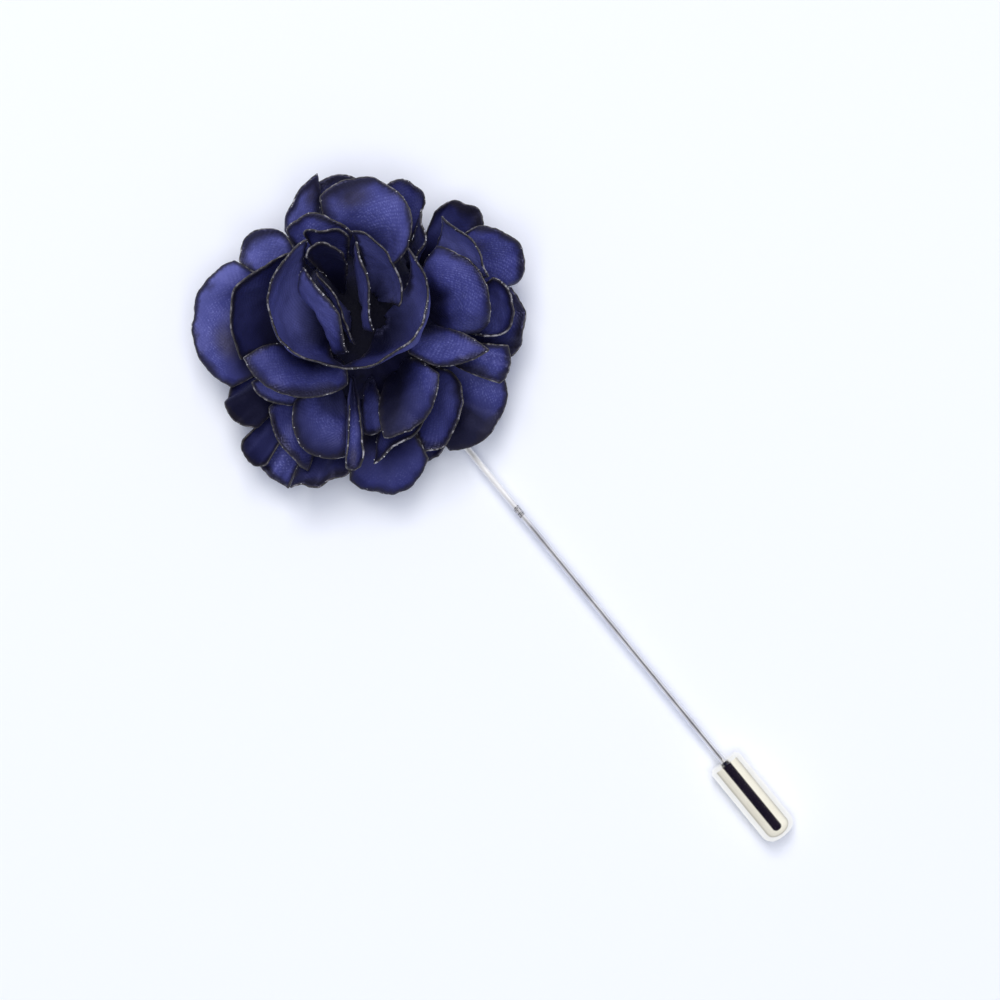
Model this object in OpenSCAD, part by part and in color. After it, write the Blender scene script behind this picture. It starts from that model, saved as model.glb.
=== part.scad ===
// Flower lapel pin lying on its back: a rose of satin petals on a padded base,
// a felt backing, a straight stick pin along -Y and a barrel clutch on its point.
// The origin is the centre of the backing's underside, and +Z points up.

/* [Flower head] */
// Radius of the flower seen from the front
head_r = 20; // [18:0.5:22]
// Height of the flower above the surface it lies on
head_h = 22; // [20:0.5:24]
// Turn of the petals about the flower's axis, in degrees
head_turn = -39.3; // [-180:0.1:180]
// Thickness of a petal
petal_wall = 1; // [0.8:0.05:1.1]
// Share of a petal's length that is pinched away at its root
root_share = 0.1; // [0.09:0.01:0.16]
// How much wider than a straight fan a petal is midway, as a share of its rim
fullness = 0.1; // [0:0.01:0.12]

/* [Base and backing] */
// Diameter of the felt backing
backing_d = 18; // [14:0.5:22]
// Thickness of the felt backing
backing_t = 1.4; // [1:0.1:1.5]
// Diameter of the padded base that carries the petals
base_d = 19; // [16:0.5:20]
// Height of the top of the padded base above the surface
base_top = 10.9; // [10:0.1:11.2]

/* [Stick pin] */
// Diameter of the needle
needle_d = 0.75; // [0.5:0.05:0.9]
// Length of the needle from the flower's centre to its point
needle_len = 75.5; // [60:0.5:90]
// Length of the ground point
point_len = 4; // [2:0.5:6]
// Diameter of the pad soldered to the needle
pad_d = 10; // [6:0.5:14]
// Thickness of that pad
pad_t = 1.1; // [1:0.05:1.2]

/* [Clutch] */
// Diameter of the clutch
clutch_d = 4.3; // [3.6:0.1:5]
// Length of the clutch
clutch_len = 11.4; // [9:0.1:14]
// Depth of the needle inside the clutch
grip_depth = 8.2; // [6:0.1:9]
// Radial clearance between the needle and the bore
bore_gap = 0.05; // [0.03:0.01:0.1]
// Bevel round the mouth
mouth_bevel = 0.45; // [0.2:0.05:0.8]
// Radius of the rounded far end
end_round = 1.4; // [0.5:0.1:1.9]

/* [Hidden] */
$fn = 64;
seat_gap = 0.06;
length_steps = 5;
rim_steps = 11;
overshoot = 1;
pinch = 0.6;

needle_r = needle_d / 2;
needle_z = max(clutch_d / 2, backing_t + seat_gap + max(pad_t / 2, needle_r));
pad_z = needle_z - pad_t / 2;
base_z = needle_z + max(pad_t / 2, needle_r) + seat_gap;
clutch_mouth_y = -(needle_len - grip_depth);
base_rise = base_top - base_z;
ball_r = (pow(base_d / 2, 2) + pow(base_rise, 2)) / (2 * base_rise);
ball_z = base_top - ball_r;

// A row for each petal. Root is where it is gathered inside the base: x and y
// in hundredths of the base's radius and z of base_top. Left, tip and right are
// points of its rim as seen from its root: x and y in hundredths of head_r and
// z of head_h. Belly is how far the petal swells from flat, upward when
// positive, and crest how far along it swells most, in hundredths of its length.
NAME = 0;
ROOT = 1;
LEFT = 2;
TIP = 3;
RIGHT = 4;
BELLY = 5;
CREST = 6;
petals = [
    ["bud_petal_1", [-30, 6, 83], [-9, -27, 80], [-52, 5, 91], [-31, 45, 89], -16, 50],
    ["bud_petal_2", [15, 1, 84], [28, 40, 91], [37, 3, 93], [-13, -27, 91], -12, 50],
    ["bud_petal_3", [10, 25, 83], [-6, 48, 91], [14, 40, 95], [20, 8, 86], -6, 50],
    ["bud_petal_4", [-1, 20, 86], [-2, 43, 95], [4, 17, 100], [6, -8, 86], 4, 50],
    ["bud_petal_5", [-23, 28, 81], [-31, 35, 89], [-20, 43, 92], [-10, 37, 89], -4, 50],
    ["bud_petal_6", [-22, 6, 82], [-34, 29, 86], [-19, 10, 95], [-8, -18, 80], 20, 55],
    ["bud_petal_7", [-12, 12, 84], [-25, 27, 84], [-13, 7, 90], [-5, -15, 77], 8, 50],
    ["bud_petal_8", [-30, 41, 68], [-33, 48, 83], [-21, 51, 90], [-7, 48, 88], -4, 50],
    ["top_petal_1", [-2, 67, 53], [-24, 71, 64], [5, 83, 59], [27, 44, 59], 15, 60],
    ["top_petal_2", [-43, 63, 55], [-44, 54, 62], [-29, 60, 69], [-6, 52, 66], 8, 60],
    ["top_petal_3", [-54, 57, 42], [-48, 53, 38], [-41, 71, 48], [-29, 87, 45], 3, 60],
    ["top_petal_4", [-22, 73, 35], [-31, 79, 32], [-17, 87, 36], [-2, 83, 32], 6, 50],
    ["top_petal_5", [38, 71, 39], [14, 81, 41], [27, 82, 45], [36, 70, 41], 6, 50],
    ["top_petal_6", [46, 60, 51], [31, 64, 50], [35, 47, 55], [33, 38, 53], -6, 50],
    ["right_petal_1", [60, 53, 33], [42, 66, 29], [55, 72, 32], [70, 59, 29], 0, 50],
    ["right_petal_2", [73, 33, 35], [60, 53, 39], [92, 44, 39], [89, 23, 29], 2, 60],
    ["right_petal_3", [64, 31, 46], [46, 60, 61], [62, 46, 70], [74, 26, 64], -14, 60],
    ["right_petal_4", [68, 19, 57], [44, 42, 50], [72, 19, 63], [68, -8, 48], 14, 60],
    ["right_petal_5", [76, 8, 45], [75, 25, 47], [88, 9, 50], [70, -9, 44], -12, 60],
    ["right_petal_6", [78, -7, 29], [87, 21, 32], [94, 5, 34], [87, -19, 28], 0, 50],
    ["right_petal_7", [70, -27, 40], [84, -14, 41], [86, -24, 42], [79, -36, 40], 8, 60],
    ["lower_right_petal_1", [56, 3, 77], [73, -17, 61], [50, -26, 59], [27, -19, 57], 12, 60],
    ["lower_right_petal_2", [55, -49, 29], [76, -19, 27], [82, -51, 27], [50, -75, 25], 6, 60],
    ["lower_right_petal_3", [40, -52, 35], [50, -29, 39], [57, -53, 45], [36, -76, 41], 0, 60],
    ["lower_right_petal_4", [36, -44, 59], [44, -31, 58], [39, -52, 59], [13, -68, 55], 14, 60],
    ["lower_right_petal_5", [28, -65, 46], [40, -53, 52], [24, -69, 52], [5, -82, 46], -6, 60],
    ["lower_right_petal_6", [20, -77, 33], [37, -80, 30], [17, -100, 23], [-9, -93, 25], 13, 60],
    ["lower_right_petal_7", [7, -51, 68], [14, -60, 45], [8, -65, 45], [-1, -64, 39], 6, 50],
    ["lower_left_petal_1", [-51, -33, 69], [-10, -37, 55], [-45, -43, 61], [-70, -21, 55], 15, 60],
    ["lower_left_petal_2", [-60, -44, 50], [-40, -47, 42], [-56, -46, 45], [-66, -36, 44], 6, 60],
    ["lower_left_petal_3", [-66, -40, 42], [-64, -62, 33], [-81, -51, 32], [-79, -37, 23], 0, 60],
    ["lower_left_petal_4", [-45, -62, 27], [-46, -97, 20], [-58, -89, 20], [-68, -78, 20], 2, 60],
    ["lower_left_petal_5", [-49, -62, 44], [-33, -87, 35], [-51, -67, 40], [-56, -50, 39], 4, 60],
    ["lower_left_petal_6", [-35, -60, 57], [-9, -76, 37], [-31, -77, 45], [-39, -47, 45], 8, 60],
    ["lower_left_petal_7", [-35, -74, 31], [-9, -85, 31], [-28, -96, 34], [-44, -96, 32], -6, 60],
    ["lower_left_petal_8", [-17, -53, 72], [0, -79, 50], [-5, -86, 45], [-10, -79, 52], 6, 50],
    ["left_petal_1", [-66, 33, 50], [-72, 35, 42], [-62, 54, 45], [-45, 49, 45], 8, 60],
    ["left_petal_2", [-78, -5, 41], [-79, -38, 30], [-102, -1, 32], [-77, 37, 33], 8, 60],
    ["left_petal_3", [-71, -12, 53], [-72, -22, 50], [-75, 12, 57], [-41, 40, 57], -11, 60],
    ["lower_left_petal_9", [-56, -52, 37], [-58, -83, 28], [-72, -77, 28], [-72, -69, 28], 0, 60],
    ["lower_right_petal_8", [40, -62, 30], [48, -69, 20], [43, -78, 20], [35, -82, 20], 0, 60]
];

// Point given in hundredths of a radius and of a height
function place(share, r, h) = [share.x * r, share.y * r, share.z * h] / 100;

function unit(v) = v / norm(v);

// Centre of the circle through three points
function circle_centre(a, b, c) =
    let (u = b - a, v = c - a, w = cross(u, v))
    a + (cross(w, u) * (v * v) + cross(v, w) * (u * u)) / (2 * (w * w));

// Point at share t of the arc from a through b to c
function arc_point(a, b, c, t) =
    let (
        centre = circle_centre(a, b, c),
        x_axis = unit(a - centre),
        y_axis = cross(unit(cross(b - a, c - a)), x_axis),
        turn = (atan2((c - centre) * y_axis, (c - centre) * x_axis) + 360) % 360
    )
    centre + norm(a - centre) * (cos(t * turn) * x_axis + sin(t * turn) * y_axis);

// Swell of a petal at share s of its length, from 0 at the root to 1 at the crest and 0 at the rim
function swell(s, crest) = sin(180 * pow(s, ln(0.5) / ln(crest / 100)));

// Share of the rim's width at share s of a petal's length
function spread(s) = s + fullness * sin(180 * (s - root_share) / (1 - root_share));

// Rows of points of a petal's middle surface, from its root to its rim
function petal_grid(p) =
    let (
        root = place(p[ROOT], base_d / 2, base_top),
        left = place(p[LEFT], head_r, head_h),
        tip = place(p[TIP], head_r, head_h),
        right = place(p[RIGHT], head_r, head_h),
        middle = (left + right) / 2,
        up = unit(cross(right - left, tip - root)),
        rise = p[BELLY] / 100 * norm(tip - root)
    )
    [for (i = [0 : length_steps])
        let (s = root_share + (1 - root_share) * i / length_steps)
        [for (j = [0 : rim_steps])
            root + s * (middle - root)
            + spread(s) * (arc_point(left, tip, right, j / rim_steps) - middle)
            + rise * swell(s, p[CREST]) * up]];

// Unit normal of a grid of points at row i and column j
function grid_normal(g, i, j) =
    let (
        along = g[min(i + 1, len(g) - 1)][j] - g[max(i - 1, 0)][j],
        across = g[i][min(j + 1, len(g[i]) - 1)] - g[i][max(j - 1, 0)]
    )
    unit(cross(across, along));

// Solid wall about a grid of points, even but for where a row is narrower than it
module wall_of(grid, wall) {
    rows = len(grid);
    cols = len(grid[0]);
    count = rows * cols;
    walls = [for (row = grid) min(wall, pinch * norm(row[cols - 1] - row[0]))];
    points = [for (side = [0.5, -0.5], i = [0 : rows - 1], j = [0 : cols - 1])
        grid[i][j] + side * walls[i] * grid_normal(grid, i, j)];
    skin = [for (i = [0 : rows - 2], j = [0 : cols - 2])
        let (a = i * cols + j, b = a + 1, c = a + cols, d = c + 1)
        each [[a, d, b], [a, c, d]]];
    border = concat(
        [for (j = [0 : cols - 1]) j],
        [for (i = [1 : rows - 1]) i * cols + cols - 1],
        [for (j = [cols - 2 : -1 : 0]) (rows - 1) * cols + j],
        [for (i = [rows - 2 : -1 : 1]) i * cols]
    );
    edge = [for (k = [0 : len(border) - 1])
        let (a = border[k], b = border[(k + 1) % len(border)])
        each [[a, b, a + count], [b, b + count, a + count]]];
    back = [for (f = skin) [f[0] + count, f[2] + count, f[1] + count]];
    polyhedron(points, concat(skin, back, edge));
}

// A petal cut to sit on the padded base
module petal(p) {
    color("midnightblue")
        difference() {
            rotate([0, 0, head_turn])
                wall_of(petal_grid(p), petal_wall);
            translate([0, 0, ball_z])
                sphere(r = ball_r + seat_gap);
        }
}

module backing() {
    color("black")
        cylinder(d = backing_d, h = backing_t);
}

// A dome cut from a ball
module flower_base() {
    color("midnightblue")
        intersection() {
            translate([0, 0, ball_z])
                sphere(r = ball_r);
            translate([0, 0, base_z])
                cylinder(d = base_d, h = base_top);
        }
}

module stick_pin() {
    color("silver")
        union() {
            translate([0, 0, pad_z])
                cylinder(d = pad_d, h = pad_t);
            translate([0, 0, needle_z])
                rotate([90, 0, 0])
                    rotate_extrude()
                        polygon([
                            [0, 0],
                            [needle_r, 0],
                            [needle_r, needle_len - point_len],
                            [0, needle_len]
                        ]);
        }
}

module clutch() {
    bore_r = needle_r + bore_gap;
    bore_end = grip_depth + bore_gap;
    translate([0, clutch_mouth_y, needle_z])
        rotate([90, 0, 0])
            color("silver")
                rotate_extrude()
                    difference() {
                        union() {
                            polygon([
                                [0, 0],
                                [clutch_d / 2 - mouth_bevel, 0],
                                [clutch_d / 2, mouth_bevel],
                                [clutch_d / 2, clutch_len - end_round],
                                [0, clutch_len - end_round]
                            ]);
                            square([clutch_d / 2 - end_round, clutch_len]);
                            translate([clutch_d / 2 - end_round, clutch_len - end_round])
                                circle(r = end_round);
                        }
                        translate([-clutch_d, 0])
                            square([clutch_d, clutch_len + overshoot]);
                        translate([-overshoot, -overshoot])
                            square([bore_r + overshoot, bore_end + overshoot]);
                    }
}

backing();
flower_base();
stick_pin();
clutch();
for (p = petals)
    petal(p);
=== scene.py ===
# %% [markdown]
# # A satin flower on a lapel pin
# The object is a fabric flower on a long straight pin, lying on its back on a pale table. The hard parts
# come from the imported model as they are. The cloth is made here, in the places that the model's plain
# petals hold, because cloth is what a mesh with folds, creases and a singed rim shows best.

# %% Load the frame
import math

import bpy
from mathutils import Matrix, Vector, noise


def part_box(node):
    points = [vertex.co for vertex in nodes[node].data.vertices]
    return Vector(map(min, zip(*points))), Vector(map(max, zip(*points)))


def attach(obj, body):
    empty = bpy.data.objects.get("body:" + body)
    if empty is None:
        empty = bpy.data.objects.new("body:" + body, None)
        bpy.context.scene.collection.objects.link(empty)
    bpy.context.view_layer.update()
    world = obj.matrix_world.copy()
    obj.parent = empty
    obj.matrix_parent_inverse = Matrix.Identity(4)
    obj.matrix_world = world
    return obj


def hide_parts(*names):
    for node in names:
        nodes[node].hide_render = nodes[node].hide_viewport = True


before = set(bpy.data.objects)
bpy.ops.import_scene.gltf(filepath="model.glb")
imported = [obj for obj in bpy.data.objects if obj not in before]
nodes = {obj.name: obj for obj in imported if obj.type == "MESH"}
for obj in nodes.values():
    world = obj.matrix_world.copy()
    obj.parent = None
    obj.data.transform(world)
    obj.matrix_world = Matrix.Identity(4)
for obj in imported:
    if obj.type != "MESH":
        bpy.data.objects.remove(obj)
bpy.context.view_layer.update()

MM = 0.001
print("nodes in the frame:", len(nodes))


# %% Helpers
def add_object(name, data):
    """A new object in the scene."""
    made = bpy.data.objects.new(name, data)
    bpy.context.scene.collection.objects.link(made)
    return made


def mesh_of(name, points, faces):
    """A mesh with smooth shading from its points in metres and its faces."""
    mesh = bpy.data.meshes.new(name)
    mesh.from_pydata(points, [], faces)
    mesh.polygons.foreach_set("use_smooth", [True] * len(mesh.polygons))
    mesh.update()
    return mesh


def paint(red, green, blue):
    """A colour given as it looks on a screen, from 0 to 255, as the linear values that a shader takes."""
    linear = [(c / 255 / 12.92) if c < 11 else ((c / 255 + 0.055) / 1.055) ** 2.4 for c in (red, green, blue)]
    return (*linear, 1.0)


# %% [markdown]
# ## Camera
# The photograph looks straight down, with the pin running to the lower right. In the frame the pin runs along
# Y, so the camera is turned and the object isn't. A long lens from 450 mm up shows 120 mm of the table.

# %% Camera
PHOTO_TURN = math.radians(-39.3)
CAMERA_PLACE = Vector((-0.88, -26.27, 450)) * MM
camera_data = bpy.data.cameras.new("camera")
camera_data.lens = 135
camera_data.sensor_width = 36
camera_data.clip_start = 0.01
camera = add_object("camera", camera_data)
camera.location = CAMERA_PLACE
camera.rotation_euler = (0, 0, PHOTO_TURN)
bpy.context.scene.camera = camera
bpy.context.scene.view_settings.view_transform = "Standard"
photo_right = Vector((math.cos(PHOTO_TURN), math.sin(PHOTO_TURN), 0))
photo_up = Vector((-math.sin(PHOTO_TURN), math.cos(PHOTO_TURN), 0))
print("camera", [round(v, 3) for v in camera.location])

# %% [markdown]
# ## Writing shader maths as expressions
# A node tree is easier to read as a formula. `Term` wraps a socket, and adding or multiplying terms adds the
# Math nodes. `Bench` holds one tree and adds any other node from its type, its settings and its inputs.


# %% Shader bench
class Term:
    """One output socket, usable in arithmetic."""

    def __init__(self, bench, socket):
        self.bench, self.socket = bench, socket

    def _maths(self, operation, *values):
        return self.bench.add("ShaderNodeMath", {"operation": operation}, dict(enumerate(values)))[0]

    def __add__(self, other):
        return self._maths("ADD", self, other)

    __radd__ = __add__

    def __sub__(self, other):
        return self._maths("SUBTRACT", self, other)

    def __rsub__(self, other):
        return self._maths("SUBTRACT", other, self)

    def __mul__(self, other):
        return self._maths("MULTIPLY", self, other)

    __rmul__ = __mul__

    def __truediv__(self, other):
        return self._maths("DIVIDE", self, other)

    def sine(self):
        return self._maths("SINE", self)

    def between(self, low, high):
        """0 at low, 1 at high, and a straight ramp from one to the other."""
        settings = {"data_type": "FLOAT", "clamp": True}
        values = {"Value": self, "From Min": low, "From Max": high, "To Min": 0.0, "To Max": 1.0}
        return self.bench.add("ShaderNodeMapRange", settings, values)["Result"]


class Made:
    """A node that has just been added; its outputs are read by name or number."""

    def __init__(self, bench, node):
        self.bench, self.node = bench, node

    def __getitem__(self, key):
        return Term(self.bench, self.node.outputs[key])


class Bench:
    """The node tree of one finish, or of the world."""

    def __init__(self, name=None, tree=None):
        if tree is None:
            self.material = bpy.data.materials.new(name)
            self.material.use_nodes = True
            tree = self.material.node_tree
        self.tree = tree
        tree.nodes.clear()

    def add(self, kind, settings=None, values=None):
        node = self.tree.nodes.new(kind)
        for key, value in (settings or {}).items():
            if key == "stops":
                ramp = node.color_ramp
                while len(ramp.elements) < len(value):
                    ramp.elements.new(0.5)
                for element, (position, colour) in zip(ramp.elements, value):
                    element.position, element.color = position, colour
            else:
                setattr(node, key, value)
        for key, value in (values or {}).items():
            if isinstance(value, Term):
                self.tree.links.new(value.socket, node.inputs[key])
            else:
                node.inputs[key].default_value = value
        return Made(self, node)

    def mix(self, mask, colour, other):
        return self.add("ShaderNodeMix", {"data_type": "RGBA"}, {0: mask, 6: colour, 7: other})[2]

    def scaled(self, coordinates, x, y, z):
        values = {"Vector": coordinates, "Scale": (x, y, z)}
        return self.add("ShaderNodeMapping", {"vector_type": "POINT"}, values)["Vector"]

    def cloud(self, coordinates, scale, detail=3.0, roughness=0.5):
        values = {"Vector": coordinates, "Scale": scale, "Detail": detail, "Roughness": roughness}
        return self.add("ShaderNodeTexNoise", {"noise_dimensions": "3D"}, values)["Fac"]

    def place(self):
        return self.add("ShaderNodeTexCoord")["Object"]

    def finish(self, values, height=None, strength=0.3, depth=0.00005):
        """Ends the tree in one Principled shader, with an optional height map as its bump."""
        values = dict(values)
        if height is not None:
            bump = {"Height": height, "Strength": strength, "Distance": depth}
            values["Normal"] = self.add("ShaderNodeBump", None, bump)["Normal"]
        shader = self.add("ShaderNodeBsdfPrincipled", None, values)
        self.add("ShaderNodeOutputMaterial", None, {"Surface": shader["BSDF"]})
        return self.material


# %% [markdown]
# ## Light
# The room is white and darker overhead, which is what the dark stripe along the polished clutch reflects. A
# soft key lamp leans in from the top of the picture and shapes the petals. A broad lamp overhead lifts the
# white table, and shiny things don't mirror it, so the stripe stays. Big lamp planes could draw the stripe
# too, but a ramp over the sky is easier to aim at one reflection.

# %% World
world = bpy.data.worlds.new("white_room")
world.use_nodes = True
bpy.context.scene.world = world
sky = Bench(tree=world.node_tree)
toward = sky.add("ShaderNodeTexCoord")["Generated"]
sky_height = sky.add("ShaderNodeSeparateXYZ", None, {"Vector": toward})["Z"]
white_walls = [(0.0, paint(188, 188, 188)), (0.34, paint(242, 242, 242)), (0.83, paint(255, 255, 255))]
dark_ceiling = [(0.87, paint(24, 18, 40))]
overhead = sky.add("ShaderNodeValToRGB", {"stops": white_walls + dark_ceiling}, {"Fac": sky_height})["Color"]
brighter_side = photo_up + photo_right * 0.35
lean = sky.add("ShaderNodeVectorMath", {"operation": "DOT_PRODUCT"}, {0: toward, 1: brighter_side})["Value"]
mirrored = sky.add("ShaderNodeLightPath")["Is Glossy Ray"]
cool = sky.mix(mirrored, paint(196, 208, 255), paint(255, 255, 255))
multiply = {"data_type": "RGBA", "blend_type": "MULTIPLY"}
tinted = sky.add("ShaderNodeMix", multiply, {0: 1.0, 6: overhead, 7: cool})[2]
strength = 0.26 + lean.between(-0.8, 0.8) * 0.22 + mirrored * 0.6
glow = sky.add("ShaderNodeBackground", None, {"Color": tinted, "Strength": strength})
sky.add("ShaderNodeOutputWorld", None, {"Surface": glow["Background"]})
print("world nodes:", len(world.node_tree.nodes))


# %% Lamps
LAMP_DISTANCE = 1.4


def soft_lamp(name, toward_lamp, size, watts, colour):
    """A square lamp that looks at the flower from one side."""
    lamp = bpy.data.lights.new(name, "AREA")
    lamp.size, lamp.energy, lamp.color = size, watts, colour
    holder = add_object(name, lamp)
    direction = toward_lamp.normalized()
    holder.location = direction * LAMP_DISTANCE
    holder.rotation_euler = direction.to_track_quat("Z", "Y").to_euler()
    return holder


key_side = photo_right * -0.08 + photo_up * 0.52 + Vector((0, 0, 1))
soft_lamp("key_lamp", key_side, size=0.6, watts=8.7, colour=(1.0, 0.98, 0.95))
overhead_side = photo_up * -0.06 + Vector((0, 0, 1))
overhead_lamp = soft_lamp("overhead_lamp", overhead_side, size=1.0, watts=13.6, colour=(0.95, 0.97, 1.0))
overhead_lamp.visible_glossy = False

# %% Table top
TABLE_REACH = 1.5
corners = [(x * TABLE_REACH, y * TABLE_REACH, 0) for x, y in ((-1, -1), (1, -1), (1, 1), (-1, 1))]
table_mesh = bpy.data.meshes.new("table_top")
table_mesh.from_pydata(corners, [], [(0, 1, 2, 3)])
table_top = add_object("table_top", table_mesh)
white = Bench("table_white")
table_mesh.materials.append(white.finish({"Base Color": paint(241, 243, 248), "Roughness": 0.75}))

# %% [markdown]
# ## The satin
# Satin shows its warp as fine parallel floats, so it has a soft gloss and a faint grain. The rims were
# sealed with heat, which darkens the cloth for about a millimetre and leaves it stiff and slightly shiny.
# A picture of cloth could be wrapped on, but it would stretch over the cups. So every petal carries a UV map
# in millimetres for the weave, and point attributes for what changes over it: the distance to its rim, the
# share from root to rim, how far it swells, how much painted light or shade it gets, and where it is
# scorched. All of them are stored on the cloth, and the satin paints light and shade into its colour from the
# swell, the share and the painted light value.


# %% Satin finish
WARP_PITCH, WEFT_PITCH = 0.52, 0.6


def satin_finish(name, gloss):
    """Navy satin: weave, painted light and shade over the swell, the root and each petal, painted glints on
    the weave, scorched spots and the singed zone along the rim.
    """
    bench = Bench(name)
    place = bench.place()
    cloth = bench.add("ShaderNodeUVMap", {"uv_map": "cloth"})["UV"]
    along = bench.add("ShaderNodeSeparateXYZ", None, {"Vector": cloth})
    warp, weft = along["X"], along["Y"]
    to_rim, share, tone, swell, scorch = [
        bench.add("ShaderNodeAttribute", {"attribute_name": label})["Fac"]
        for label in ("rim", "share", "tone", "swell", "scorch")
    ]

    sway = bench.cloud(cloth, 0.9, 2.0, 0.5)
    threads = ((warp + sway * 0.9) * (2 * math.pi / WARP_PITCH)).sine()
    floats = ((weft + sway * 0.9) * (2 * math.pi / WEFT_PITCH)).sine()
    grain = bench.cloud(bench.scaled(cloth, 3.4, 2.6, 1.0), 1.0, 3.0, 0.6)
    broken = bench.cloud(cloth, 1.3, 3.0, 0.7)
    weave = (threads * floats + 1.0) * 0.5

    drift = bench.cloud(place, 190.0, 3.0, 0.55)
    patch = bench.cloud(place, 900.0, 3.0, 0.6)
    cloth_colour = bench.mix(drift.between(0.35, 0.65), paint(34, 36, 88), paint(50, 52, 110))
    # Painted shade where the swell is low, at the root and the rim, and painted light on its middle.
    painted_swell_light = swell.between(0.35, 1.0)
    cloth_colour = bench.mix(1.0 - swell.between(0.0, 0.55), cloth_colour, paint(17, 18, 46))
    cloth_colour = bench.mix(painted_swell_light * 0.4, cloth_colour, paint(80, 84, 152))
    # Painted glints of the weave and its grain, only on the lit swell of the lighter petals.
    shown = tone.between(0.5, 1.25) * 1.05 + 0.05
    painted_weave_glints = weave.between(0.5, 0.95) * painted_swell_light * 0.6 * shown * broken.between(0.42, 0.62)
    cloth_colour = bench.mix(painted_weave_glints, cloth_colour, paint(124, 128, 192))
    painted_grain_glints = grain.between(0.56, 0.72) * painted_swell_light * 0.5 * shown
    cloth_colour = bench.mix(painted_grain_glints, cloth_colour, paint(134, 138, 200))
    # Painted shade and light for each petal: darker below 1, lighter above 1.
    cloth_colour = bench.mix(tone.between(0.0, 1.0), paint(16, 16, 34), cloth_colour)
    cloth_colour = bench.mix(tone.between(1.0, 2.0) * 0.75, cloth_colour, paint(98, 101, 168))
    # Painted shade towards the root, where the petals lie under their neighbours.
    painted_root_shade = (1.0 - share.between(0.0, 0.55)) * (0.75 - tone.between(1.0, 2.0) * 0.5)
    cloth_colour = bench.mix(painted_root_shade, cloth_colour, paint(10, 10, 26))
    cloth_colour = bench.mix(0.9 - share.between(0.02, 0.3) * 0.9, cloth_colour, paint(10, 10, 24))
    stained = (scorch * (0.25 + drift * 0.8 + grain * 0.6)).between(0.12, 0.85)
    cloth_colour = bench.mix(stained * 0.8, cloth_colour, paint(54, 51, 66))

    smoke = bench.cloud(place, 95.0, 2.0, 0.6)
    reach = 0.3 + patch.between(0.35, 0.75) * 0.7 + drift.between(0.45, 0.65) * 0.4
    reach = reach + smoke.between(0.53, 0.68) * 1.9
    singe = (1.0 - (to_rim / reach).between(0.25, 1.0)) * share.between(0.1, 0.4)
    colour = bench.mix(singe * 0.9, cloth_colour, paint(24, 22, 28))
    # A paler grey line along the cut edge: partly the melted edge's own colour, partly a painted highlight.
    edge = (1.0 - to_rim.between(0.03, 0.16)) * share.between(0.15, 0.45)
    colour = bench.mix(edge * patch.between(0.4, 0.7) * 0.5, colour, paint(84, 80, 84))

    in_shade = 1.0 - tone.between(0.0, 0.6)
    rough = 0.44 - singe * 0.1 + (grain - 0.5) * 0.24 + in_shade * 0.2
    values = {
        "Base Color": colour,
        "Roughness": rough,
        "Specular IOR Level": gloss,
        "Specular Tint": paint(170, 172, 240),
        "Sheen Weight": 0.08,
        "Sheen Roughness": 0.4,
        "Sheen Tint": paint(130, 132, 210),
    }
    height = (weave * 0.55 + grain * 0.6) * (1.0 - in_shade * 0.6)
    return bench.finish(values, height, strength=0.6, depth=0.00008)


navy_satin = satin_finish("navy_satin", 0.52)
# A copy with less gloss for the petals in deep painted shade, so they stay dark.
shaded_satin = satin_finish("shaded_satin", 0.2)
print("finishes:", navy_satin.name, shaded_satin.name)

# %% [markdown]
# ## The petals
# Each petal is a disc of satin, gathered at its root and cupped by heat. Its rim is close to an arc of a
# circle in space, so a petal is a fan of lines from the root to the arc, swelled in the middle. That is the
# rule of the model's plain petals too, so the cloth lies in their place. Sculpting each petal would give
# freer folds, but a rule keeps 41 of them alike, thin and clear of each other. The first table places them:
# `root` is in hundredths of the base's radius and height, the rim's `left`, `tip` and `right` in hundredths
# of the flower's, `belly` in hundredths of the petal's length, and `crest`, where the belly is highest, too.

# %% Sizes and the table of petals
HEAD_R, HEAD_H = 20.0, 22.0
BASE_R, BASE_TOP, BASE_Z = 9.5, 10.9, 2.76
BASE_RISE = BASE_TOP - BASE_Z
BALL_R = (BASE_R**2 + BASE_RISE**2) / (2 * BASE_RISE)
BALL = Vector((0, 0, BASE_TOP - BALL_R))
CLOTH = 0.26
ROOT_SHARE = 0.1
FULLNESS = 0.1

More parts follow.
